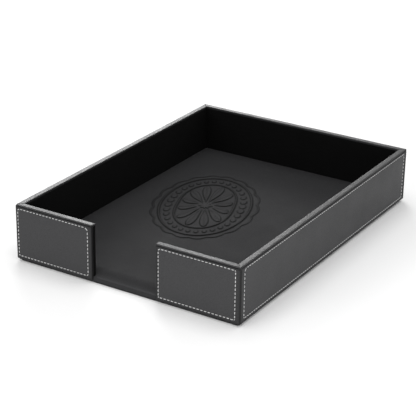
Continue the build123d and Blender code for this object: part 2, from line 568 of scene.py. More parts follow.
def bend_corners(
    u: Array, z: Array, half_u: float, half_z: float, radius: float
) -> tuple[Array, Array]:
    """Bends points near the four corners of a rectangle about the origin to an arc.

    Args:
        u: Places along the first axis.
        z: Places along the second axis.
        half_u: Half of the rectangle's size along the first axis.
        half_z: Half of its size along the second axis.
        radius: The corners' radius.

    Returns:
        The new places.
    """
    a = (np.abs(u) - (half_u - radius)) / radius
    b = (np.abs(z) - (half_z - radius)) / radius
    corner = (a > 0) & (b > 0)
    round_a = np.where(corner, a * np.sqrt(np.clip(1 - b**2 / 2, 0, 1)), a)
    round_b = np.where(corner, b * np.sqrt(np.clip(1 - a**2 / 2, 0, 1)), b)
    new_u = np.sign(u) * (half_u - radius + round_a * radius)
    new_z = np.sign(z) * (half_z - radius + round_b * radius)
    return new_u, new_z


def ripple(along: Array, lengths: tuple[float, ...], phase: float) -> Array:
    """A gentle unevenness from -1 to 1, made of a few waves.

    Args:
        along: Places along the piece.
        lengths: The wavelengths that are mixed.
        phase: Where the first wave starts, in radians.

    Returns:
        The unevenness at each place.
    """
    waves = [np.sin(2 * math.pi * along / length + phase * (1 + i)) for i, length in enumerate(lengths)]
    return sum(waves) / len(waves)


# Walls

class Side(Enum):
    """The side of the tray that a wall stands on, as its turn in degrees from the front."""

    FRONT = 0
    RIGHT = 90
    BACK = 180
    LEFT = -90

    def turn(self) -> tuple[float, float]:
        """Cosine and sine of the side's turn."""
        angle = math.radians(self.value)
        return math.cos(angle), math.sin(angle)


@dataclass(frozen=True)
class Wall:
    """One wall's own frame: u runs along it, w inwards from the tray's outer face and z up.

    The front wall's left half is the mirror image of its right half, so it uses the same frame mirrored.
    """

    name: str
    side: Side
    half_span: float
    depth: float
    gap_end: float | None = None
    mirrored: bool = False

    def world(self, u: Array, w: Array, z: Array) -> Array:
        """Places points of the wall's frame in the tray's frame.

        Args:
            u: Places along the wall.
            w: Depths inside the outer face.
            z: Heights.

        Returns:
            The points, with x, y and z last.
        """
        along, inward, up = np.broadcast_arrays(u, w, z)
        x = -along if self.mirrored else along
        y = inward - self.depth
        cos, sin = self.side.turn()
        return np.stack([x * cos - y * sin, x * sin + y * cos, up], axis=-1)

    def node_span(self, node: str) -> tuple[Array, Array]:
        """Lowest and highest u, w and z of one of the wall's CAD nodes, such as "wall_wrap".

        Args:
            node: The node's name without the wall's.

        Returns:
            The two corners.
        """
        corners = np.array([list(corner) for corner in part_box(f"{self.name}_{node}")]) / MM
        cos, sin = self.side.turn()
        x = corners[:, 0] * cos + corners[:, 1] * sin
        y = corners[:, 1] * cos - corners[:, 0] * sin
        u = -x if self.mirrored else x
        local = np.stack([u, y + self.depth, corners[:, 2]], axis=-1)
        return local.min(axis=0), local.max(axis=0)


@dataclass(frozen=True)
class SeamLine:
    """Where a panel's stitch line runs: its distance from each edge, and the radius of each corner.

    The radii go round as the sewing does: lower end, upper end, upper start and lower start.
    """

    start: float = 5.0
    end: float = 2.6
    bottom: float = 3.2
    top: float = 2.4
    corners: tuple[float, float, float, float] = (1.6, 2.2, 2.6, 1.4)


@dataclass
class StitchedPanel:
    """A stitched panel: leatherette turned round a card, sewn near its edge with a pale thread.

    Each stitch pulls the leatherette down into a channel, so the panel swells a little inside it, and
    its border stands up like a flat cord.
    """

    wall: Wall
    seam: SeamLine
    edge_radius: float = 0.7
    corner_radius: float = 0.9
    crown_offset: float = 0.22
    border_offset: float = 0.08
    line_offset: float = 0.42
    crown_reach: float = 4.0
    border_reach: float = 1.0
    channel_half_width: float = 0.55
    channel_depth: float = 0.24
    swell_height: float = 0.04
    swell_waves: tuple[float, ...] = (97.0, 61.0, 38.0)
    hole_depth: float = 0.10
    hole_reach: float = 0.6
    pitch: float = 3.8
    stitch_share: float = 0.70
    thread_radius: float = 0.40
    thread_flatness: float = 0.9
    thread_taper: float = 0.93
    thread_dive: float = 0.40
    ply_lay: float = 2.2
    ply_relief: float = 0.10
    ring_count: int = 9
    side_count: int = 8
    skin: float = 0.7
    # Painted shade darkens the panel along its edges, where it meets the rim and the next panel; it is
    # also darker outside its stitch line.
    border_darkening: float = 0.3
    edge_shade: float = 0.6
    edge_shade_reach: float = 0.8
    hidden_press: float = 0.9
    channel_lines: int = 9
    lines_beyond: tuple[float, ...] = (0.5, 1.2, 2.0)
    step_count: int = 4

    def __post_init__(self) -> None:
        """Reads the panel's place from its CAD node, and works out the stitch path's."""
        low, high = self.wall.node_span("stitched_panel")
        self.middle = (low + high) / 2
        self.half_u = (high[0] - low[0]) / 2
        self.half_z = (high[2] - low[2]) / 2
        self.back = high[1]
        seam = self.seam
        self.path_u = self.half_u - (seam.start + seam.end) / 2
        self.path_z = self.half_z - (seam.bottom + seam.top) / 2
        self.shift = np.array([(seam.start - seam.end) / 2, (seam.bottom - seam.top) / 2])

    def runs(self) -> list[tuple[float, float]]:
        """Measures the four straight runs of the stitch path.

        Returns:
            The start and length of each.
        """
        radii = self.seam.corners
        sides = [2 * self.path_u, 2 * self.path_z] * 2
        start, runs = 0.0, []
        for index, side in enumerate(sides):
            length = side - radii[index - 1] - radii[index]
            runs.append((start, length))
            start += length + math.pi / 2 * radii[index]
        return runs

    def path(self, s: Array) -> tuple[Array, Array]:
        """Points and directions along the stitch path, counted from the middle of the panel.

        Args:
            s: Lengths along the path.

        Returns:
            The points and the unit directions, each with u and z last.
        """
        points = np.zeros(s.shape + (2,))
        directions = np.zeros(s.shape + (2,))
        extents = (self.path_u, self.path_z)
        radii = self.seam.corners
        for index, (start, length) in enumerate(self.runs()):
            angle = index * math.pi / 2
            ahead = np.array([math.cos(angle), math.sin(angle)])
            left = np.array([-ahead[1], ahead[0]])
            reach, side = extents[index % 2], extents[(index + 1) % 2]
            radius = radii[index]
            t = s - start
            on_run = (t >= 0) & (t <= length)
            points[on_run] = ahead * (t[on_run, None] - (reach - radii[index - 1])) - left * side
            directions[on_run] = ahead
            turn = (t - length) / radius
            on_arc = (t > length) & (turn < math.pi / 2)
            sweep = turn[on_arc, None]
            centre = ahead * (reach - radius) - left * (side - radius)
            points[on_arc] = centre + radius * (ahead * np.sin(sweep) - left * np.cos(sweep))
            directions[on_arc] = ahead * np.cos(sweep) + left * np.sin(sweep)
        return points + self.shift, directions

    def stitches(self) -> Array:
        """Spaces the stitches evenly along each run, with one more round each corner.

        Returns:
            The middle and half length of every stitch, as lengths along the path.
        """
        rows = []
        for (start, length), radius in zip(self.runs(), self.seam.corners):
            corner = math.pi / 2 * radius
            count = round(length / self.pitch)
            pitch = length / count
            half = pitch * self.stitch_share / 2
            rows += [(start + pitch * (i + 0.5), half) for i in range(count)]
            rows.append((start + length + corner / 2, corner * self.stitch_share / 2))
        return np.array(rows)

    def from_seam(self, u: Array, z: Array) -> Array:
        """Signed distance to the stitch line, negative inside it.

        Args:
            u: Places along the panel, from its middle.
            z: Heights from its middle.

        Returns:
            The distance at each point.
        """
        along, up = u - self.shift[0], z - self.shift[1]
        lower_end, upper_end, upper_start, lower_start = self.seam.corners
        at_end = np.where(up > 0, upper_end, lower_end)
        at_start = np.where(up > 0, upper_start, lower_start)
        radius = np.where(along > 0, at_end, at_start)
        return outline_distance(along, up, self.path_u, self.path_z, radius)

    def holes(self) -> Array:
        """The needle holes, as u and z from the middle of the panel."""
        middle, half = self.stitches().T
        return self.path(np.concatenate([middle - half, middle + half]))[0]

    def depth(self, u: Array, z: Array) -> Array:
        """Depth of the leatherette's face inside the tray's outer face.

        Args:
            u: Places along the panel, from its middle.
            z: Heights from its middle.

        Returns:
            The depth at each point.
        """
        to_edge = -outline_distance(u, z, self.half_u, self.half_z, self.corner_radius)
        to_stitch = self.from_seam(u, z)
        inner_pull = np.exp(-np.clip(-to_stitch, 0, None) / self.crown_reach)
        border_pull = np.exp(-np.clip(to_stitch, 0, None) / self.border_reach)
        swell = self.swell_height * ripple(u + z / 2, self.swell_waves, self.half_u) * (1 - inner_pull)
        inner = self.crown_offset + (self.line_offset - self.crown_offset) * inner_pull + swell
        border = self.border_offset + (self.line_offset - self.border_offset) * border_pull
        channel = self.channel_depth * bell(to_stitch, self.channel_half_width)
        face = np.where(to_stitch > 0, border, inner) + channel + rounded_drop(to_edge, self.edge_radius)
        near = np.abs(to_stitch) < 2 * self.channel_half_width
        spots = np.stack([u[near], z[near]], axis=-1)
        away = spots[:, None, :] - self.holes()[None, :, :]
        closest = np.sqrt((away**2).sum(axis=-1).min(axis=-1))
        face[near] += self.hole_depth * bell(closest, self.hole_reach)
        return face

    def fringe(self, inset: float) -> Array:
        """Distances of grid lines from an edge: close together at the edge and at the stitch line.

        Args:
            inset: The stitch line's distance from that edge.

        Returns:
            The distances.
        """
        edge = eased(self.edge_radius)
        reach = 2 * self.channel_half_width
        channel = np.linspace(inset - reach, inset + reach, self.channel_lines)
        space = channel[0] - edge[-1]
        between = np.linspace(edge[-1], channel[0], max(2, round(space) + 1))[1:-1]
        beyond = channel[-1] + np.array(self.lines_beyond)
        return np.concatenate([edge, between, channel, beyond])

    def lines(self, half: float, low_inset: float, high_inset: float) -> Array:
        """Grid lines across one direction, with even steps between the fringes of both edges.

        Args:
            half: Half of the panel's size in that direction.
            low_inset: The stitch line's distance from the low edge.
            high_inset: Its distance from the high edge.

        Returns:
            The places of the lines, from the middle of the panel.
        """
        low = self.fringe(low_inset) - half
        high = (half - self.fringe(high_inset))[::-1]
        length = high[0] - low[-1]
        count = self.step_count * round(length / self.pitch)
        run = np.linspace(low[-1], high[0], count + 1)[1:-1]
        return np.concatenate([low, run, high])

    def skin_piece(self) -> bpy.types.Object:
        """Builds the leatherette, turned round the card's edges and open behind it.

        Returns:
            The skin, which stands for the CAD node.
        """
        seam = self.seam
        u, z = np.meshgrid(
            self.lines(self.half_u, seam.start, seam.end),
            self.lines(self.half_z, seam.bottom, seam.top),
        )
        rows, columns = u.shape
        u, z = bend_corners(u, z, self.half_u, self.half_z, self.corner_radius)
        w = self.depth(u, z)
        grid = np.arange(rows * columns).reshape(rows, columns)
        rim = np.concatenate([grid[0, :-1], grid[:-1, -1], grid[-1, :0:-1], grid[:0:-1, 0]])
        edge_u, edge_z = u.ravel()[rim], z.ravel()[rim]
        shrink_u = (self.half_u - self.skin) / self.half_u
        shrink_z = (self.half_z - self.skin) / self.half_z
        loops = [
            (edge_u, self.back, edge_z),
            (edge_u * shrink_u, self.back, edge_z * shrink_z),
            (edge_u * shrink_u, self.skin, edge_z * shrink_z),
        ]
        points = [self.place(u.ravel(), w.ravel(), z.ravel())]
        points += [self.place(*loop) for loop in loops]
        faces = grid_faces(rows, columns)
        count = len(rim)
        start = rows * columns
        previous = rim
        for _ in loops:
            ring = start + np.arange(count)
            faces += np.stack([previous, np.roll(previous, -1), np.roll(ring, -1), ring], axis=-1).tolist()
            previous = ring
            start += count
        faces.append(previous.tolist())
        points = np.concatenate(points)
        to_edge = -outline_distance(u, z, self.half_u, self.half_z, self.corner_radius).ravel()
        outside = np.clip(self.from_seam(u, z).ravel() / self.border_reach + 0.5, 0, 1)
        # Darker outside the stitch line, and painted shade along the panel's edges.
        burnish_and_shade = np.full(len(points), self.hidden_press)
        burnish_and_shade[:len(to_edge)] = (
            self.border_darkening * outside + self.edge_shade * np.exp(-to_edge / self.edge_shade_reach)
        )
        name = f"{self.wall.name}_panel_skin"
        piece = build_piece(
            name, points, faces, PANEL_LEATHER, burnish_and_shade=burnish_and_shade
        )
        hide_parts(f"{self.wall.name}_stitched_panel")
        return piece

    def place(self, u: Array, w: Array | float, z: Array) -> Array:
        """Points of the tray from u and z about the panel's middle and w from the outer face."""
        return self.wall.world(u + self.middle[0], w, z + self.middle[2])

    def thread_piece(self) -> bpy.types.Object:
        """Builds every stitch of the panel: a short twisted length of thread whose ends dive in.

        Returns:
            The panel's stitching.
        """
        stitches = self.stitches()
        share = np.linspace(-1, 1, self.ring_count)
        s = stitches[:, 0, None] + stitches[:, 1, None] * share
        spots, ahead = self.path(s)
        dive = self.thread_dive * np.abs(share) ** 3
        thickness = self.thread_radius * np.sqrt(1 - self.thread_taper * np.abs(share) ** 5)
        around = np.arange(self.side_count) * 2 * math.pi / self.side_count
        twist = 2 * math.pi * s / self.ply_lay
        plies = 1 + self.ply_relief * np.cos(2 * around[None, None, :] + twist[:, :, None])
        radius = thickness[None, :, None] * plies
        aside = np.stack([-ahead[..., 1], ahead[..., 0]], axis=-1)
        offset = radius * np.cos(around)
        u = spots[:, :, None, 0] + aside[:, :, None, 0] * offset
        z = spots[:, :, None, 1] + aside[:, :, None, 1] * offset
        centre = self.thread_radius + dive
        w = centre[None, :, None] + self.thread_flatness * radius * np.sin(around)
        points = self.place(u, w, z).reshape(-1, 3)
        size = self.ring_count * self.side_count
        faces = []
        for index in range(len(stitches)):
            faces += tube_faces(self.ring_count, self.side_count, index * size)
        return build_piece(f"{self.wall.name}_stitching", points, faces, THREAD)

    def build(self) -> None:
        """Builds the skin and its stitching."""
        self.skin_piece()
        self.thread_piece()


@dataclass
class RimWrap:
    """The leatherette round a wall board: turned under it, up its outside and over the rounded rim."""

    wall: Wall
    skin: float = 0.7
    overhang: float = 1.3
    roll_radius: float = 0.9
    roll_height: float = 1.75
    inner_radius: float = 0.6
    arc_steps: int = 8
    crown_lines: int = 4
    under_span: tuple[float, float] = (0.1, 0.9)
    lip_height: float = 2.2
    lip_margin: float = 0.1
    heel: float = 0.5
    corner_radius: float = 2.6
    wave_height: float = 0.10
    wave_depth: float = 0.05
    waves: tuple[float, ...] = (83.0, 47.0, 29.0)
    seam_depth: float = 0.30
    seam_reach: float = 0.9
    fringe: tuple[float, ...] = (0.0, 0.15, 0.35, 0.6, 0.9, 1.4, 2.2, 3.5)
    line_spacing: float = 4.0
    end_radius: float = 0.6
    cap_length: float = 0.9
    cap_step: float = 0.12
    cap_inset: float = 0.02
    wear_and_highlight: float = 0.6

    def __post_init__(self) -> None:
        """Reads the wrap's place from its CAD node."""
        low, high = self.wall.node_span("wall_wrap")
        self.outer = low[1]
        self.flap_end = high[1]
        self.bottom = low[2]
        self.top = high[2]
        board_low, board_high = self.wall.node_span("wall_board")
        self.board_outer, self.board_inner = board_low[1], board_high[1]
        lining_high = self.wall.node_span("lining")[1]
        self.inner = lining_high[1]
        self.lip = self.top - self.lip_height

    def rim_profile(self) -> Array:
        """Draws the rim's outside: from the leg out under the roll, over the top to the lip's end.

        Returns:
            Its points as w and z.
        """
        edge = self.outer - self.overhang
        half = self.roll_height / 2
        waist = self.top - half
        under = np.linspace(*self.under_span, self.arc_steps // 2) * math.pi / 2
        below = (self.outer - self.overhang * np.sin(under), waist - half * np.cos(under))
        turn = np.linspace(0, math.pi / 2, self.arc_steps + 1)
        over = (edge + eased(self.roll_radius, self.arc_steps), waist + half * np.sin(turn))
        lip = (
            self.inner - self.inner_radius * (1 - np.sin(turn)),
            self.top - eased(self.inner_radius, self.arc_steps),
        )
        outer, inner = np.concatenate([below, over], axis=1).T, np.transpose(lip)
        crown = np.linspace(outer[-1], inner[0], self.crown_lines)[1:-1]
        return np.concatenate([outer, crown, inner, [[self.inner, self.lip]]])

    def section(self) -> Array:
        """Draws the whole wrap's section as a closed loop.

        Returns:
            Its points as w and z.
        """
        board_top = self.top - self.skin
        under = self.bottom + self.skin
        heel = [
            [self.flap_end, self.bottom],
            [self.outer + self.heel, self.bottom],
            [self.outer, self.bottom + self.heel],
        ]
        inside = [
            [self.board_inner, self.lip],
            [self.board_inner, board_top],
            [self.board_outer, board_top],
            [self.board_outer, under],
            [self.flap_end, under],
        ]
        return np.concatenate([heel, self.rim_profile(), inside])

    def columns(self, low: float, high: float) -> Array:
        """Places along the wrap as shares from 0 to 1, closer together at both ends.

        Args:
            low: Where it starts.
            high: Where it ends.

        Returns:
            The shares.
        """
        length = high - low
        fringe = np.array(self.fringe)
        count = round((length - 2 * fringe[-1]) / self.line_spacing)
        run = np.linspace(fringe[-1], length - fringe[-1], count + 1)[1:-1]
        return np.concatenate([fringe, run, length - fringe[::-1]]) / length

    def build(self) -> bpy.types.Object:
        """Builds the wrap with mitred ends, and a folded cap where it ends at the thumb gap.

        Returns:
            The wrap, which stands for the CAD node.
        """
        section = self.section()
        w, z = section[:, 0], section[:, 1]
        high = self.wall.half_span - w
        low = -high if self.wall.gap_end is None else np.full_like(w, self.wall.gap_end)
        share = self.columns(float(low.max()), float(high.min()))[:, None]
        u = low + share * (high - low)
        on_rim = np.clip((z - self.lip) / self.roll_height, 0, 1) * (z > self.lip + self.lip_margin)
        wave = ripple(u, self.waves, self.wall.half_span + self.wall.side.value)
        sag = self.wave_height * (1 + wave) / 2
        seam = self.seam_depth * bell(high - u, self.seam_reach)
        if self.wall.gap_end is None:
            seam = seam + self.seam_depth * bell(u - low, self.seam_reach)
        else:
            covered = (u - low) < self.cap_length
            seam = seam + self.cap_step * covered
        height = z - on_rim * (sag + seam)
        depth = w + on_rim * self.wave_depth * wave
        rows, columns = u.shape
        points = [self.round_corners(self.wall.world(u, depth, height).reshape(-1, 3))]
        faces = tube_faces(rows, columns)
        if self.wall.gap_end is not None:
            cap_points, cap_faces = self.cap(len(points[0]))
            points.append(cap_points)
            faces += cap_faces
        points = np.concatenate(points)
        wear_and_highlight = np.zeros(len(points))
        wear_and_highlight[:rows * columns] = (on_rim * self.wear_and_highlight * np.ones_like(u)).ravel()
        name = f"{self.wall.name}_rim_wrap"
        piece = build_piece(name, points, faces, RIM_LEATHER, wear_and_highlight)
        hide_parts(f"{self.wall.name}_wall_wrap")
        return piece

    def round_corners(self, points: Array) -> Array:
        """Rounds the rim's roll in plan where two wraps meet at an outer corner of the tray.

        Args:
            points: The wrap's points in the tray's frame.

        Returns:
            The points, moved where they lie on the rim in a corner.
        """
        half_x, half_y = (corner / MM - self.outer + self.overhang for corner in cad_box[1][:2])
        x, y = bend_corners(points[:, 0], points[:, 1], half_x, half_y, self.corner_radius)
        rounded = np.stack([x, y, points[:, 2]], axis=-1)
        return np.where(points[:, 2:] > self.lip, rounded, points)

    def cap(self, first: int) -> tuple[Array, list[list[int]]]:
        """The folded end of the rim at the thumb gap, rounded off towards it.

        Args:
            first: The number of its first point.

        Returns:
            Its points and faces.
        """
        profile = np.concatenate([[[self.outer, self.lip]], self.rim_profile()])
        start = float(self.wall.gap_end)
        along = eased(self.end_radius)
        drop = rounded_drop(along, self.end_radius)
        along = np.append(along, self.cap_length)[:, None]
        drop = np.append(drop, 0.0)[:, None]
        middle = (self.outer + self.inner) / 2
        half = (self.inner - self.outer) / 2
        w = middle + (profile[:, 0] - middle) * (1 - drop / half)
        z = self.lip + (profile[:, 1] - self.lip) * (1 - drop / (self.top - self.lip)) - self.cap_inset
        points = self.wall.world(start + along, w, z).reshape(-1, 3)
        return points, tube_faces(*w.shape, first)


class Corner(Enum):
    """A corner of the tray, as the signs of its x and y."""

    FRONT_LEFT = (-1, -1)
    FRONT_RIGHT = (1, -1)
    BACK_RIGHT = (1, 1)
    BACK_LEFT = (-1, 1)


@dataclass
class CornerFold:
    """The tuck of leatherette at a rim's outer corner, where two wraps are folded over each other."""

    corner: Corner
    half_width: float
    half_length: float
    top: float
    offset: float = 0.05
    reach: float = 3.4
    height: float = 3.2
    squareness: float = 4.0
    tuck_depth: float = 0.35
    press: float = 0.7
    rows: int = 13
    columns: int = 32

    def build(self) -> bpy.types.Object:
        """Builds the tuck as a small rounded fold that hugs the corner.

        Returns:
            The fold.
        """
        rise = np.linspace(-math.pi / 2, math.pi / 2, self.rows)[1:-1, None]
        turn = np.linspace(0, 2 * math.pi, self.columns, endpoint=False)[None, :]
        power = 2 / self.squareness

        def soft(value: Array) -> Array:
            """A cosine or sine, squared off."""
            return np.sign(value) * np.abs(value) ** power

        half = self.reach / 2
        x = half * soft(np.cos(rise)) * soft(np.cos(turn))
        y = half * soft(np.cos(rise)) * soft(np.sin(turn))
        z = self.height / 2 * soft(np.sin(rise)) * np.ones_like(turn)
        inward = np.clip((-x - y) / self.reach + 0.5, 0, 1)
        z = z - self.tuck_depth * inward**2
        sign_x, sign_y = self.corner.value
        centre = (self.half_width - self.offset - half, self.half_length - self.offset - half)
        middle_z = self.top - self.height / 2
        points = np.stack(
            [sign_x * (centre[0] + x), sign_y * (centre[1] + y), middle_z + z], axis=-1
        ).reshape(-1, 3)
        faces = tube_faces(self.rows - 2, self.columns)
        name = f"{self.corner.name.lower()}_corner_fold"
        burnish_and_shade = np.full(len(points), self.press)
        return build_piece(
            name, points, faces, PANEL_LEATHER, burnish_and_shade=burnish_and_shade
        )


# Floor

@dataclass(frozen=True)
class Rosette:
    """A plain oval rosette, embossed in the floor: a scalloped edge, rings, beads, petals and a hub."""

    x: float = -30.0
    y: float = 21.0
    width: float = 94.0
    length: float = 147.0
    turn: float = 20.0
    relief: float = 0.9
    ring_width: float = 2.2
    ring_spacing: float = 17.0
    bead_count: int = 32
    bead_radius: float = 3.4
    bead_share: float = 0.8
    scallop_count: int = 18
    scallop_gap: float = 5.5
    scallop_depth: float = 2.6
    scallop_width: float = 1.8
    scallop_share: float = 0.7
    petal_count: int = 12
    petal_gap: float = 3.0
    petal_waist: float = 0.72
    petal_face: float = 0.75
    petal_rim: float = 0.25
    petal_rim_width: float = 0.9
    vein_depth: float = 0.35
    vein_width: float = 0.8
    hub_width: float = 18.0
    hub_inset: float = 3.0
    hub_face: float = 0.8
    hub_dome: float = 0.2
    lobe_count: int = 8
    lobe_depth: float = 1.2
    soft_edge: float = 0.8

    def reach(self) -> tuple[float, float]:
        """Measures the room that the rosette takes, with its scalloped edge.

        Returns:
            Half of it along x and half of it along y.
        """
        turn = math.radians(self.turn)
        edge = self.scallop_gap + self.scallop_depth + self.scallop_width
        wide, long = self.width / 2 + edge, self.length / 2 + edge
        half_x = math.hypot(wide * math.cos(turn), long * math.sin(turn))
        half_y = math.hypot(wide * math.sin(turn), long * math.cos(turn))
        return half_x, half_y

    def raised(self, distance: Array) -> Array:
        """A raised shape's height from 0 to 1, at each distance inside its outline."""
        share = np.clip(distance / self.soft_edge + 0.5, 0, 1)
        return share * share * (3 - 2 * share)

    def height(self, x: Array, y: Array) -> Array:
        """Height of the relief above the floor.

        Args:
            x: Places across the floor.
            y: Places along the floor.

        Returns:
            The height at each point.
        """
        half_x = (self.width - self.ring_width) / 2
        half_y = (self.length - self.ring_width) / 2
        cos, sin = math.cos(math.radians(self.turn)), math.sin(math.radians(self.turn))
        across = ((x - self.x) * cos + (y - self.y) * sin) / half_x
        along = ((y - self.y) * cos - (x - self.x) * sin) / half_y
        angle = np.arctan2(along, across)
        radius = np.hypot(across, along)
        scale = np.hypot(half_x * np.cos(angle), half_y * np.sin(angle))
        outward = radius * scale
        gap = self.ring_spacing
        outer_ring = self.ring_width / 2 - np.abs(outward - scale)
        inner_ring = self.ring_width / 2 - np.abs(outward - (scale - gap))
        bead_turn = 2 * math.pi / self.bead_count
        aside = (np.mod(angle, bead_turn) - bead_turn / 2) * (scale - gap / 2)
        bead = self.bead_radius - np.hypot(aside, outward - (scale - gap / 2))
        hub = self.hub_width / 2
        tip = scale - gap - self.petal_gap
        share = np.clip((outward - hub) / (tip - hub), 0, 1)
        petal_turn = 2 * math.pi / self.petal_count
        lean = (np.mod(angle, petal_turn) - petal_turn / 2) * outward
        waist = self.petal_waist * outward * petal_turn / 2 * np.sqrt(np.sin(math.pi * share))
        inside = np.where((share > 0) & (share < 1), waist - np.abs(lean), -1.0)
        vein = self.vein_depth * bell(lean, self.vein_width)
        face = self.petal_face - vein + self.petal_rim * bell(inside, self.petal_rim_width)
        petal = self.raised(inside) * face
        lobes = hub - self.hub_inset + self.lobe_depth * np.cos(self.lobe_count * angle)
        dome = self.hub_face + self.hub_dome * np.cos(math.pi * outward / hub)
        button = self.raised(lobes - outward) * dome
        bulge = np.abs(np.cos(self.scallop_count / 2 * angle))
        edge = scale + self.scallop_gap + self.scallop_depth * bulge
        scallops = self.scallop_width / 2 - np.abs(outward - edge)
        parts = [
            self.scallop_share * self.raised(scallops),
            self.raised(outer_ring),
            self.raised(inner_ring),
            self.bead_share * self.raised(bead),
            petal,
            button,
        ]
        return self.relief * np.maximum.reduce(parts)


@dataclass
class PaddedFloor:
    """The floor: leatherette over foam, feathered out and rolled over the front edge at the thumb gap."""

    rosette: Rosette
    half_width: float
    half_length: float
    half_gap: float
    skin: float = 0.7
    panel_thickness: float = 1.5
    wall_thickness: float = 6.0
    edge_radius: float = 1.8
    front_radius: float = 0.9
    ramp_landing: float = 1.2
    ramp_run: float = 14.0
    turn_under: float = 12.0
    flap_margin: float = 0.5
    flap_lines: int = 4
    ramp_lines: int = 15
    crown: float = 0.35
    crown_reach: float = 22.0
    front_fade: float = 10.0
    uneven_height: float = 0.06
    long_waves: tuple[float, ...] = (71.0, 43.0)
    long_slant: float = 0.6
    cross_waves: tuple[float, ...] = (59.0, 37.0)
    cross_slant: float = 0.4
    # Darkening on the rosette's slopes: partly heat burnish, partly painted shade.
    relief_shade_gain: float = 2.0
    # A paler band along the front crease: partly rubbing, partly a painted highlight.
    wear_and_highlight: float = 0.6
    wear_and_highlight_reach: float = 2.0
    coarse_step: float = 3.0
    fine_step: float = 0.7

    def __post_init__(self) -> None:
        """Reads the floor's levels from its CAD nodes."""
        foam_low, foam_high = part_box("floor_foam")
        self.board_level = foam_low.z / MM
        self.level = foam_high.z / MM + self.skin
        self.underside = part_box("floor_cover")[0].z / MM
        self.low_level = self.board_level + self.skin
        self.side = self.half_width - self.wall_thickness
        self.back = self.half_length - self.wall_thickness
        self.front = -self.half_length + self.panel_thickness
        self.landing = self.front + self.ramp_landing
        self.crest = self.landing + self.ramp_run
        self.inner_face = -self.half_length + self.wall_thickness

    def spaced(self, low: float, high: float, fine_low: float, fine_high: float) -> Array:
        """Places from low to high, close together where the rosette lies.

        Args:
            low: Where they start.
            high: Where they end.
            fine_low: Where the close ones start.
            fine_high: Where the close ones end.

        Returns:
            The places, without the last.
        """
        stretches = [(low, fine_low, self.coarse_step), (fine_low, fine_high, self.fine_step)]
        stretches.append((fine_high, high, self.coarse_step))
        parts = []
        for start, end, step in stretches:
            count = max(1, round((end - start) / step))
            parts.append(np.linspace(start, end, count, endpoint=False))
        return np.concatenate(parts)

    def section(self) -> tuple[Array, Array]:
        """Draws the floor's section from the flap under the board to the back.

        Returns:
            Its places along y and its heights.
        """
        radius, margin, lines = self.front_radius, self.flap_margin, self.flap_lines
        flap_y = np.linspace(self.front + self.turn_under, self.front + margin, lines)
        leg_z = np.linspace(self.underside + margin, self.low_level - radius, lines)
        roll_y = self.front + eased(radius)
        turn = np.linspace(0, math.pi / 2, len(roll_y))
        roll_z = self.low_level - radius * (1 - np.sin(turn))
        rise = self.level - self.low_level
        bend = (self.ramp_run**2 + rise**2) / (4 * rise)
        ramp_y = np.linspace(self.landing, self.crest, self.ramp_lines)
        ramp_y = np.unique(np.append(ramp_y, self.inner_face))
        from_landing = np.minimum(ramp_y - self.landing, bend)
        to_crest = np.minimum(self.crest - ramp_y, bend)
        lower = self.low_level + bend - np.sqrt(bend**2 - from_landing**2)
        upper = self.level - bend + np.sqrt(bend**2 - to_crest**2)
        ramp_z = np.where(ramp_y < (self.landing + self.crest) / 2, lower, upper)
        back_edge = self.back - eased(self.edge_radius)[::-1]
        reach = self.rosette.reach()[1]
        flat_y = self.spaced(
            self.crest, back_edge[0], self.rosette.y - reach, self.rosette.y + reach
        )[1:]
        y = np.concatenate(
            [flap_y, np.full(lines, self.front), roll_y[1:], ramp_y, flat_y, back_edge, [self.back]]
        )
        z = np.concatenate(
            [
                np.full(lines, self.underside),
                leg_z,
                roll_z[1:],
                ramp_z,
                np.full(len(flat_y) + len(back_edge), self.level),
                [self.board_level],
            ]
        )
        return y, z

    def build(self) -> bpy.types.Object:
        """Builds the floor's leatherette.

        Returns:
            The floor, which stands for the CAD node.
        """
        right_edge = self.side - eased(self.edge_radius)[::-1]
        reach = self.rosette.reach()[0]
        across = self.spaced(
            -right_edge[0], right_edge[0], self.rosette.x - reach, self.rosette.x + reach
        )[1:]
        across = np.unique(np.append(across, [-self.half_gap, self.half_gap]))
        x_line = np.concatenate(
            [[-self.side], -right_edge[::-1], across, right_edge, [self.side]]
        )
        y_line, z_line = self.section()
        x, y = np.meshgrid(x_line, y_line)
        z = np.repeat(z_line[:, None], len(x_line), axis=1)
        on_pad = (y > self.landing + TINY) & (z > self.board_level)
        from_side = self.side - np.abs(x)
        from_back = self.back - y
        rising = np.clip((y - self.crest) / self.front_fade, 0, 1)
        nearest = np.minimum(from_side, np.clip(from_back, 0, None))
        sag = self.crown * np.exp(-nearest / self.crown_reach) * rising
        uneven = self.uneven_height * ripple(x + self.long_slant * y, self.long_waves, phase=1.0)
        uneven = uneven * ripple(y - self.cross_slant * x, self.cross_waves, phase=2.0) * rising
        drop = rounded_drop(from_side, self.edge_radius) + rounded_drop(from_back, self.edge_radius)
        # Darker on the rosette's slopes: partly heat burnish, partly painted shade of the relief.
        relief = self.rosette.height(x, y)
        step = np.hypot(np.gradient(relief, axis=0), np.gradient(relief, axis=1))
        burnish_and_shade = np.clip(self.relief_shade_gain * step / self.rosette.relief, 0, 1) * on_pad
        z = np.where(on_pad, z - sag - drop + relief + uneven, z)
        z[:, 0] = z[:, -1] = self.board_level
        rows, columns = x.shape
        middle_x = np.abs(x_line[:-1] + x_line[1:]) / 2
        behind = np.arange(rows - 1) >= int(np.argmin(np.abs(y_line - self.inner_face)))
        keep = behind[:, None] | (middle_x < self.half_gap)[None, :]
        faces = [face for face, kept in zip(grid_faces(rows, columns), keep.ravel()) if kept]
        points = np.stack([x, y, z], axis=-1).reshape(-1, 3)
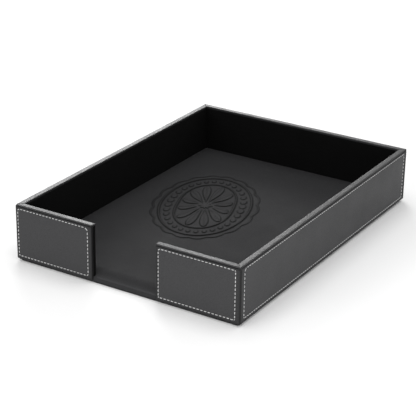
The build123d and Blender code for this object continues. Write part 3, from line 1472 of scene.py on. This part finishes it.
        # A paler band along the front crease: partly rubbing, partly a painted highlight.
        wear_and_highlight = np.exp(-np.abs(y - self.landing) / self.wear_and_highlight_reach).ravel() * self.wear_and_highlight
        piece = build_piece(
            "padded_floor", points, faces, FLOOR_LEATHER, wear_and_highlight, burnish_and_shade.ravel()
        )
        self.thicken(piece)
        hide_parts("floor_cover")
        return piece

    def thicken(self, piece: bpy.types.Object) -> None:
        """Gives the leatherette its thickness, on the side of the foam.

        Args:
            piece: The floor's single sheet.
        """
        mesh = piece.data
        middle = max(mesh.polygons, key=lambda face: face.center.z)
        if middle.normal.z < 0:
            mesh.flip_normals()
        solidify = piece.modifiers.new("leatherette_thickness", "SOLIDIFY")
        solidify.thickness = self.skin * MM
        solidify.offset = -1.0


# Tray

@dataclass
class Tray:
    """The whole tray: its walls, rim, corners and floor, and the CAD nodes that keep their shape."""

    half_width: float
    half_length: float
    height: float
    half_gap: float

    @classmethod
    def from_frame(cls) -> "Tray":
        """Takes the tray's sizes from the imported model."""
        high, gap = cad_box[1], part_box("front_right_stitched_panel")[0].x
        return cls(high[0] / MM, high[1] / MM, high[2] / MM, gap / MM)

    def walls(self) -> list[Wall]:
        """Sets up the frames of the five walls, the front one in its two halves.

        Returns:
            The walls.
        """
        wide, long, gap = self.half_width, self.half_length, self.half_gap
        return [
            Wall("left", Side.LEFT, long, wide),
            Wall("right", Side.RIGHT, long, wide),
            Wall("back", Side.BACK, wide, long),
            Wall("front_right", Side.FRONT, wide, long, gap_end=gap),
            Wall("front_left", Side.FRONT, wide, long, gap_end=gap, mirrored=True),
        ]

    def dress_nodes(self) -> None:
        """Gives each CAD node that stays in view its finish."""
        finishes = {
            "lining": LINING,
            "wall_board": FIBREBOARD,
            "panel_card": GREYBOARD,
            "base_infill_card": GREYBOARD,
            "base_board": FIBREBOARD,
            "base_cover": UNDERSIDE,
            "floor_foam": FOAM,
        }
        for name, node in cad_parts.items():
            for ending, finish in finishes.items():
                if name.endswith(ending):
                    node.data.materials.clear()
                    node.data.materials.append(finish.material())
                    LOG.info("dressed %s in %s", name, finish.name)

    def build(self) -> None:
        """Builds every sub-assembly in order."""
        seams = {
            "right": SeamLine(start=6.0, end=3.4, corners=(1.5, 2.0, 3.4, 1.5)),
            "front_right": SeamLine(start=2.4, end=5.4, corners=(1.2, 1.2, 2.4, 1.0)),
            "front_left": SeamLine(start=4.9, end=2.4, corners=(1.6, 2.4, 3.6, 2.2)),
        }
        for wall in self.walls():
            StitchedPanel(wall, seams.get(wall.name, SeamLine())).build()
            RimWrap(wall).build()
        lowered = {Corner.FRONT_LEFT: 0.6, Corner.FRONT_RIGHT: 1.1}
        for corner in Corner:
            top = self.height - lowered.get(corner, 0.0)
            CornerFold(corner, self.half_width, self.half_length, top).build()
        PaddedFloor(Rosette(), self.half_width, self.half_length, self.half_gap).build()
        self.dress_nodes()


# Studio

@dataclass(frozen=True)
class Paper(Finish):
    """Background paper: matt white, rolled out in one sheet, so the floor shows only the shadow."""

    colour: str = "#f2f2f2"
    glow: float = 0.04

    def paint(self, recipe: Recipe) -> None:
        """Paints matt white, with a lift that only the view gets.

        Args:
            recipe: The material in the making.
        """
        seen = studio_rays(recipe.tree)
        recipe.apply(
            {
                "Emission Strength": calculate(recipe.tree, "MULTIPLY", seen, self.glow),
                "Emission Color": linear("#ffffff"),
                "Base Color": linear(self.colour),
                "Roughness": 0.9,
                "Specular IOR Level": 0.1,
            }
        )


def studio_rays(tree: bpy.types.NodeTree) -> Socket:
    """A value that is 1 for what the camera sees, directly, in a gloss or through glass.

    Args:
        tree: The node tree that needs it.

    Returns:
        The socket that gives the value.
    """
    path = add_node(tree, "ShaderNodeLightPath")
    mirrored = calculate(tree, "ADD", path.outputs["Is Camera Ray"], path.outputs["Is Glossy Ray"])
    return calculate(tree, "ADD", mirrored, path.outputs["Is Transmission Ray"], clamp=True)


def aim(bearing: float, elevation: float) -> Vector:
    """Unit vector of a bearing, clockwise from +Y seen from above, and an elevation, in degrees."""
    turn, rise = math.radians(bearing), math.radians(elevation)
    return Vector((math.sin(turn) * math.cos(rise), math.cos(turn) * math.cos(rise), math.sin(rise)))


@dataclass(frozen=True)
class Softbox:
    """One soft lamp, placed by its bearing from the tray: degrees clockwise from +Y seen from above."""

    name: str
    bearing: float
    elevation: float
    distance: float
    width: float
    height: float
    power: float

    def build(self, target: Vector) -> None:
        """Hangs the lamp and turns it to the tray.

        Args:
            target: The point that it faces, in metres.
        """
        lamp = bpy.data.lights.new(self.name, "AREA")
        lamp.shape = "RECTANGLE"
        lamp.size, lamp.size_y = self.width, self.height
        lamp.energy = self.power
        holder = bpy.data.objects.new(self.name, lamp)
        direction = aim(self.bearing, self.elevation)
        holder.location = target + direction * self.distance
        holder.rotation_euler = direction.to_track_quat("Z", "Y").to_euler()
        bpy.context.scene.collection.objects.link(holder)


@dataclass(frozen=True)
class Studio:
    """The camera, the paper floor and the light."""

    camera_place: tuple[float, float, float] = (0.6903, -1.1462, 0.6118)
    camera_heading: float = 31.57
    camera_tilt: float = 23.77
    camera_roll: float = 0.862
    lens: float = 127.75
    sensor: float = 36.0
    clip_range: tuple[float, float] = (0.01, 50.0)
    target: tuple[float, float, float] = (0.0, 0.0, 0.03)
    ambient: float = 0.62
    floor_half: float = 6.0

    def build(self) -> None:
        """Sets up the camera, the floor, the world and the lamps."""
        scene = bpy.context.scene
        scene.view_settings.view_transform = "Standard"
        self.add_camera()
        self.add_floor()
        self.add_world()
        # Each lamp's name, bearing, elevation, distance, width, height and power.
        lamps = [
            Softbox("softbox_back_left", -40.0, 24.0, 1.9, 0.80, 0.60, 13.0),
            Softbox("softbox_overhead", 0.0, 88.0, 1.6, 1.3, 1.3, 11.0),
            Softbox("softbox_front_fill", 195.0, 22.0, 1.9, 1.0, 1.0, 9.0),
            Softbox("softbox_right_fill", 128.0, 8.0, 0.62, 0.25, 0.12, 0.55),
        ]
        for lamp in lamps:
            lamp.build(Vector(self.target))

    def add_camera(self) -> None:
        """Adds the camera where the photograph was taken from."""
        data = bpy.data.cameras.new("camera")
        data.lens, data.sensor_width = self.lens, self.sensor
        data.clip_start, data.clip_end = self.clip_range
        ahead = aim(-self.camera_heading, -self.camera_tilt)
        right = ahead.cross(Vector((0, 0, 1))).normalized()
        up = right.cross(ahead)
        roll = math.radians(self.camera_roll)
        level = right * math.cos(roll) + up * math.sin(roll)
        upright = up * math.cos(roll) - right * math.sin(roll)
        camera = bpy.data.objects.new("camera", data)
        turn = Matrix((level, upright, -ahead)).transposed()
        camera.matrix_world = Matrix.Translation(self.camera_place) @ turn.to_4x4()
        bpy.context.scene.collection.objects.link(camera)
        bpy.context.scene.camera = camera

    def add_floor(self) -> None:
        """Adds the paper floor that the tray stands on."""
        half = self.floor_half
        mesh = bpy.data.meshes.new("paper_floor")
        corners = [(-half, -half, 0), (half, -half, 0), (half, half, 0), (-half, half, 0)]
        mesh.from_pydata(corners, [], [(0, 1, 2, 3)])
        mesh.materials.append(Paper("background_paper_white").material())
        floor = bpy.data.objects.new("paper_floor", mesh)
        bpy.context.scene.collection.objects.link(floor)

    def add_world(self) -> None:
        """Adds an even white surround, which lights the tray less than it shows."""
        world = bpy.data.worlds.new("studio")
        world.use_nodes = True
        tree = world.node_tree
        tree.nodes.clear()
        strength = add_node(
            tree,
            "ShaderNodeMapRange",
            inputs={"Value": studio_rays(tree), "To Min": self.ambient, "To Max": 1.0},
        )
        white = add_node(
            tree,
            "ShaderNodeBackground",
            inputs={"Color": linear("#ffffff"), "Strength": strength.outputs["Result"]},
        )
        add_node(tree, "ShaderNodeOutputWorld", inputs={"Surface": white.outputs["Background"]})
        bpy.context.scene.world = world


def main() -> None:
    """Builds the studio and the tray."""
    logging.basicConfig(level=logging.INFO, format="%(name)s: %(message)s")
    Studio().build()
    Tray.from_frame().build()


if __name__ == "__main__":
    main()
